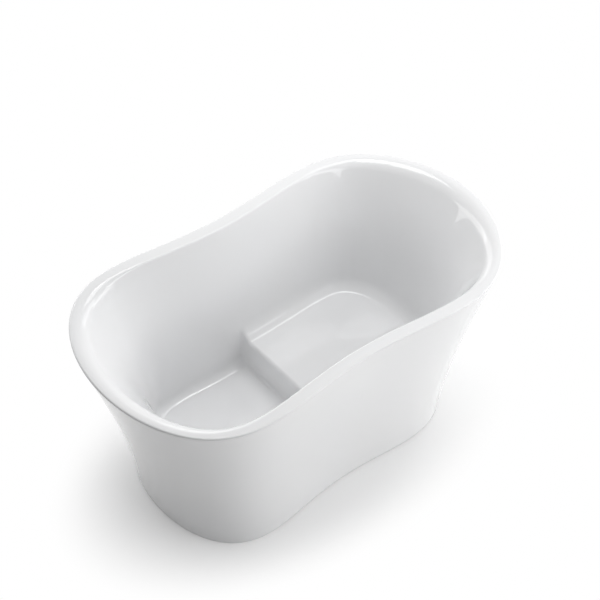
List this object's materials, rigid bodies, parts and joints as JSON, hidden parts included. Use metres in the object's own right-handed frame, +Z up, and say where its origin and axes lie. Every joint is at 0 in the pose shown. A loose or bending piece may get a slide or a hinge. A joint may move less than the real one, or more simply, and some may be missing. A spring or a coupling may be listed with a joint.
{
  "type": "freestanding soaking bathtub",
  "caption": "Waisted oval freestanding bathtub with a flared skirt, flat rim, raised seat and foot well, with frame, levelling feet, click waste and overflow.",
  "frame": {"origin": "on the floor under the middle of the rim's length and width", "axes": "+X along the tub from the foot well to the seat, +Y across it, +Z up"},
  "size_m": [1.3, 0.7348, 0.616],
  "materials": {
    "acrylic": "glossy white sanitary acrylic",
    "adhesive": "cured structural adhesive",
    "plywood": "resin-sealed plywood",
    "galvanised_steel": "galvanised square tube and plate",
    "black_plastic": "moulded end caps",
    "foot_plastic": "moulded pad on a plated stud",
    "zinc_fasteners": "zinc plated",
    "chrome_trim": "polished chrome",
    "brass_nut": "bare cast brass",
    "rubber_seals": "black sealing rubber",
    "white_plastic": "moulded white plumbing plastic"
  },
  "bodies": {
    "tub": {"basin": "acrylic", "skirt": "acrylic", "rim_bond_bead": "adhesive", "well_board": "plywood", "seat_board": "plywood", "frame_rail_near": "galvanised_steel", "frame_rail_far": "galvanised_steel", "frame_crossbar_foot": "galvanised_steel", "frame_crossbar_middle": "galvanised_steel", "frame_crossbar_head": "galvanised_steel", "seat_trestle_front": "galvanised_steel", "seat_trestle_back": "galvanised_steel", "frame_end_caps": "black_plastic", "foot_bosses": "galvanised_steel", "foot_lock_nuts": "zinc_fasteners", "skirt_block_1": "plywood", "skirt_block_2": "plywood", "skirt_block_3": "plywood", "skirt_block_4": "plywood", "skirt_brackets": "galvanised_steel", "bracket_bolts": "zinc_fasteners", "bracket_screws": "zinc_fasteners", "well_board_screws": "zinc_fasteners", "seat_board_screws": "zinc_fasteners", "waste_flange": "chrome_trim", "waste_flange_seal": "rubber_seals", "waste_washer": "rubber_seals", "waste_backnut": "brass_nut", "stopper_cartridge": "white_plastic", "drain_tee": "white_plastic", "tee_seal": "rubber_seals", "tee_union_nut": "white_plastic", "outlet_pipe": "white_plastic", "outlet_seal": "rubber_seals", "outlet_nut": "white_plastic", "overflow_cover": "chrome_trim", "overflow_screw": "chrome_trim", "overflow_seal": "rubber_seals", "overflow_elbow": "white_plastic", "overflow_pipe": "white_plastic", "overflow_pipe_seals": "rubber_seals", "overflow_nut_upper": "white_plastic", "overflow_nut_lower": "white_plastic"},
    "stopper": {"stopper_cap": "chrome_trim", "stopper_seal": "rubber_seals", "stopper_stem": "chrome_trim"},
    "foot_1": {"levelling_foot_1": "foot_plastic"},
    "foot_2": {"levelling_foot_2": "foot_plastic"},
    "foot_3": {"levelling_foot_3": "foot_plastic"},
    "foot_4": {"levelling_foot_4": "foot_plastic"},
    "foot_5": {"levelling_foot_5": "foot_plastic"}
  },
  "joints": [
    {"name": "stopper_click", "type": "slide", "parent": "tub", "child": "stopper", "axis": [0, 0, 1], "range_m": [0, 0.009]},
    {"name": "foot_1_screw", "type": "slide", "parent": "tub", "child": "foot_1", "axis": [0, 0, -1], "range_m": [0, 0.02]},
    {"name": "foot_2_screw", "type": "slide", "parent": "tub", "child": "foot_2", "axis": [0, 0, -1], "range_m": [0, 0.02]},
    {"name": "foot_3_screw", "type": "slide", "parent": "tub", "child": "foot_3", "axis": [0, 0, -1], "range_m": [0, 0.02]},
    {"name": "foot_4_screw", "type": "slide", "parent": "tub", "child": "foot_4", "axis": [0, 0, -1], "range_m": [0, 0.02]},
    {"name": "foot_5_screw", "type": "slide", "parent": "tub", "child": "foot_5", "axis": [0, 0, -1], "range_m": [0, 0.02]}
  ]
}
